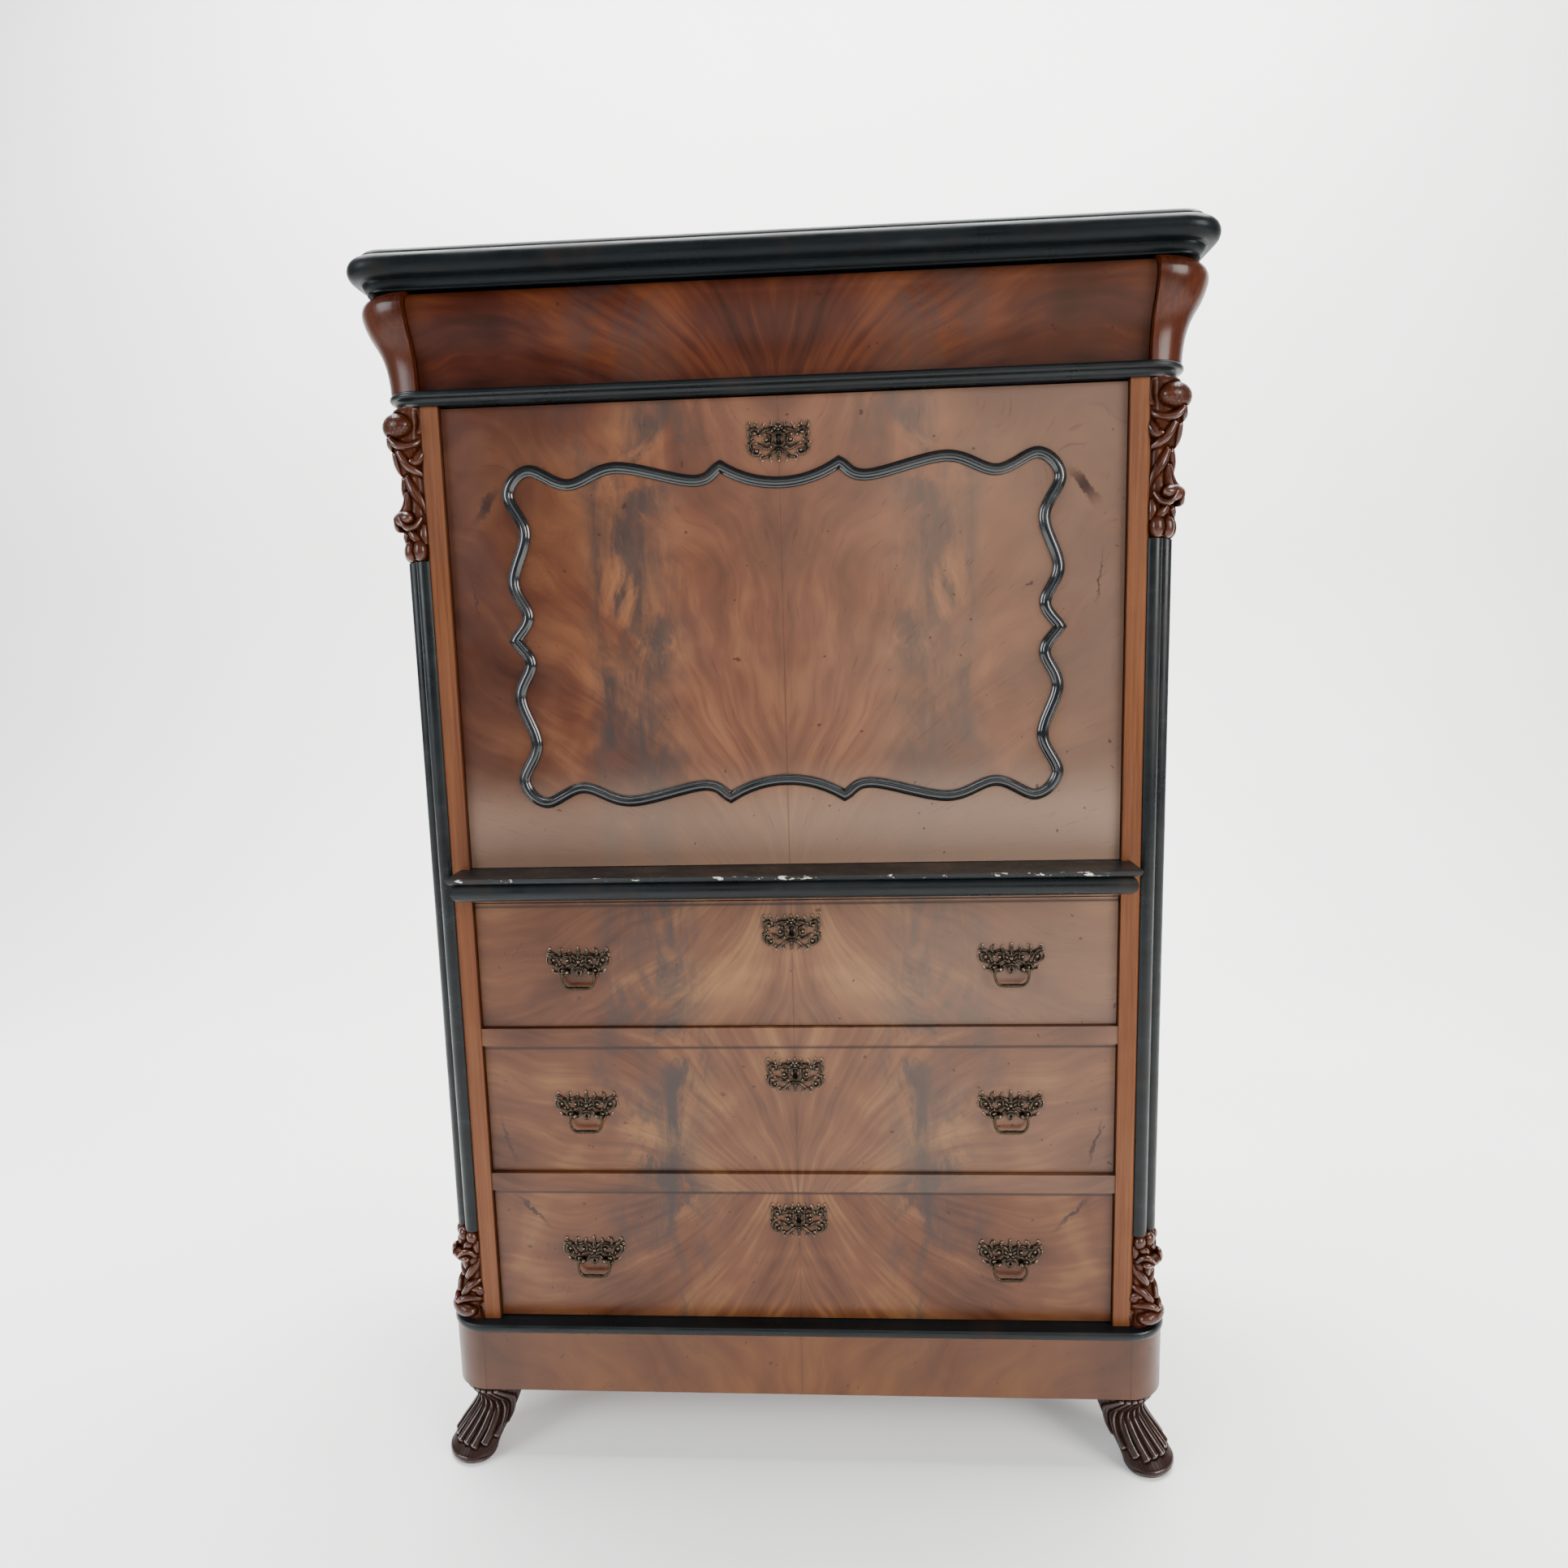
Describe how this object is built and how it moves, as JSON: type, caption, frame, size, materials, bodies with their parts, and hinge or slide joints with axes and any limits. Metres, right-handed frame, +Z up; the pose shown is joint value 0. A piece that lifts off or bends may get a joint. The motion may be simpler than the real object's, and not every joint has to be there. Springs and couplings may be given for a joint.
{
  "type": "fall-front secretary desk",
  "caption": "Tall fall-front secretary desk: moulded crown, hidden frieze drawer, hinged writing front over a fitted gallery, deep drawers below, carved corners and feet.",
  "frame": {"origin": "on the floor, at the centre of the desk in plan", "axes": "+Z up, -Y towards the person using it, +X to their right"},
  "size_m": [1.04, 0.5, 1.608],
  "materials": {
    "flame_mahogany": "book-matched flame mahogany veneer under worn shellac",
    "stile_mahogany": "straight-grained mahogany, worn shellac",
    "carcase_mahogany": "plain mahogany, waxed",
    "ebonised_wood": "black stained and polished hardwood with worn edges",
    "carved_mahogany": "carved mahogany, polished on the high places",
    "drawer_oak": "plain oak, dry",
    "pine": "rough pine, darkened with age",
    "brass": "cast brass, aged dark in the hollows",
    "green_leather": "thin tooled leather, rubbed"
  },
  "bodies": {
    "root": {"plinth": "flame_mahogany", "base_bead": "ebonised_wood", "feet_front": "carved_mahogany", "feet_back": "carved_mahogany", "side_panels": "flame_mahogany", "corner_posts": "carcase_mahogany", "front_stiles": "stile_mahogany", "pivot_bushes_and_stops": "brass", "reeded_columns": "ebonised_wood", "carved_scrolls_top": "carved_mahogany", "carved_scrolls_bottom": "carved_mahogany", "drawer_rails": "stile_mahogany", "flap_rail": "carcase_mahogany", "waist_moulding": "ebonised_wood", "drawer_runners": "drawer_oak", "case_boards": "carcase_mahogany", "back_frame": "pine", "back_panels": "pine", "writing_bed": "carcase_mahogany", "frieze_corners": "flame_mahogany", "frieze_sides": "flame_mahogany", "frieze_drawer_guides": "drawer_oak", "frieze_bead": "ebonised_wood", "crown_moulding": "ebonised_wood", "top_board": "flame_mahogany", "gallery_boards": "carcase_mahogany"},
    "fall_front": {"flap_panel": "flame_mahogany", "writing_leather": "green_leather", "flap_pivots": "brass", "flap_lock": "brass", "flap_escutcheon": "brass", "flap_frame": "ebonised_wood", "flap_stays": "brass"},
    "fall_front_bolt": {"flap_lock_bolt": "brass"},
    "frieze_drawer": {"frieze_drawer_front": "flame_mahogany", "frieze_drawer_box": "drawer_oak"},
    "drawer_1": {"drawer_1_front": "flame_mahogany", "drawer_1_box": "drawer_oak", "drawer_1_brasses": "brass"},
    "drawer_1_lock_bolt": {"drawer_1_bolt": "brass"},
    "drawer_1_bail_right_loop": {"drawer_1_bail_right": "brass"},
    "drawer_1_bail_left_loop": {"drawer_1_bail_left": "brass"},
    "drawer_2": {"drawer_2_front": "flame_mahogany", "drawer_2_box": "drawer_oak", "drawer_2_brasses": "brass"},
    "drawer_2_lock_bolt": {"drawer_2_bolt": "brass"},
    "drawer_2_bail_right_loop": {"drawer_2_bail_right": "brass"},
    "drawer_2_bail_left_loop": {"drawer_2_bail_left": "brass"},
    "drawer_3": {"drawer_3_front": "flame_mahogany", "drawer_3_box": "drawer_oak", "drawer_3_brasses": "brass"},
    "drawer_3_lock_bolt": {"drawer_3_bolt": "brass"},
    "drawer_3_bail_right_loop": {"drawer_3_bail_right": "brass"},
    "drawer_3_bail_left_loop": {"drawer_3_bail_left": "brass"},
    "small_drawer_right_1_body": {"small_drawer_right_1": "flame_mahogany"},
    "small_drawer_left_1_body": {"small_drawer_left_1": "flame_mahogany"},
    "small_drawer_right_2_body": {"small_drawer_right_2": "flame_mahogany"},
    "small_drawer_left_2_body": {"small_drawer_left_2": "flame_mahogany"},
    "small_drawer_right_3_body": {"small_drawer_right_3": "flame_mahogany"},
    "small_drawer_left_3_body": {"small_drawer_left_3": "flame_mahogany"}
  },
  "joints": [
    {"name": "fall_front_hinge", "type": "hinge", "parent": "root", "child": "fall_front", "pos_m": [0, -0.171, 0.865], "axis": [1, 0, 0], "range_deg": [0, 90]},
    {"name": "fall_front_bolt_slide", "type": "slide", "parent": "fall_front", "child": "fall_front_bolt", "axis": [0, 0, 1], "range_m": [0, 0.009]},
    {"name": "frieze_drawer_slide", "type": "slide", "parent": "root", "child": "frieze_drawer", "axis": [0, -1, 0], "range_m": [0, 0.3]},
    {"name": "drawer_1_slide", "type": "slide", "parent": "root", "child": "drawer_1", "axis": [0, -1, 0], "range_m": [0, 0.3]},
    {"name": "drawer_1_bolt_slide", "type": "slide", "parent": "drawer_1", "child": "drawer_1_lock_bolt", "axis": [0, 0, 1], "range_m": [0, 0.009]},
    {"name": "drawer_1_bail_right_hinge", "type": "hinge", "parent": "drawer_1", "child": "drawer_1_bail_right_loop", "pos_m": [0.284, -0.1905, 0.705], "axis": [-1, 0, 0], "range_deg": [0, 85]},
    {"name": "drawer_1_bail_left_hinge", "type": "hinge", "parent": "drawer_1", "child": "drawer_1_bail_left_loop", "pos_m": [-0.284, -0.1905, 0.705], "axis": [-1, 0, 0], "range_deg": [0, 85]},
    {"name": "drawer_2_slide", "type": "slide", "parent": "root", "child": "drawer_2", "axis": [0, -1, 0], "range_m": [0, 0.3]},
    {"name": "drawer_2_bolt_slide", "type": "slide", "parent": "drawer_2", "child": "drawer_2_lock_bolt", "axis": [0, 0, 1], "range_m": [0, 0.009]},
    {"name": "drawer_2_bail_right_hinge", "type": "hinge", "parent": "drawer_2", "child": "drawer_2_bail_right_loop", "pos_m": [0.284, -0.1905, 0.504], "axis": [-1, 0, 0], "range_deg": [0, 85]},
    {"name": "drawer_2_bail_left_hinge", "type": "hinge", "parent": "drawer_2", "child": "drawer_2_bail_left_loop", "pos_m": [-0.284, -0.1905, 0.504], "axis": [-1, 0, 0], "range_deg": [0, 85]},
    {"name": "drawer_3_slide", "type": "slide", "parent": "root", "child": "drawer_3", "axis": [0, -1, 0], "range_m": [0, 0.3]},
    {"name": "drawer_3_bolt_slide", "type": "slide", "parent": "drawer_3", "child": "drawer_3_lock_bolt", "axis": [0, 0, 1], "range_m": [0, 0.009]},
    {"name": "drawer_3_bail_right_hinge", "type": "hinge", "parent": "drawer_3", "child": "drawer_3_bail_right_loop", "pos_m": [0.284, -0.1905, 0.293], "axis": [-1, 0, 0], "range_deg": [0, 85]},
    {"name": "drawer_3_bail_left_hinge", "type": "hinge", "parent": "drawer_3", "child": "drawer_3_bail_left_loop", "pos_m": [-0.284, -0.1905, 0.293], "axis": [-1, 0, 0], "range_deg": [0, 85]},
    {"name": "small_drawer_right_1_slide", "type": "slide", "parent": "root", "child": "small_drawer_right_1_body", "axis": [0, -1, 0], "range_m": [0, 0.095]},
    {"name": "small_drawer_left_1_slide", "type": "slide", "parent": "root", "child": "small_drawer_left_1_body", "axis": [0, -1, 0], "range_m": [0, 0.095]},
    {"name": "small_drawer_right_2_slide", "type": "slide", "parent": "root", "child": "small_drawer_right_2_body", "axis": [0, -1, 0], "range_m": [0, 0.095]},
    {"name": "small_drawer_left_2_slide", "type": "slide", "parent": "root", "child": "small_drawer_left_2_body", "axis": [0, -1, 0], "range_m": [0, 0.095]},
    {"name": "small_drawer_right_3_slide", "type": "slide", "parent": "root", "child": "small_drawer_right_3_body", "axis": [0, -1, 0], "range_m": [0, 0.095]},
    {"name": "small_drawer_left_3_slide", "type": "slide", "parent": "root", "child": "small_drawer_left_3_body", "axis": [0, -1, 0], "range_m": [0, 0.095]}
  ]
}
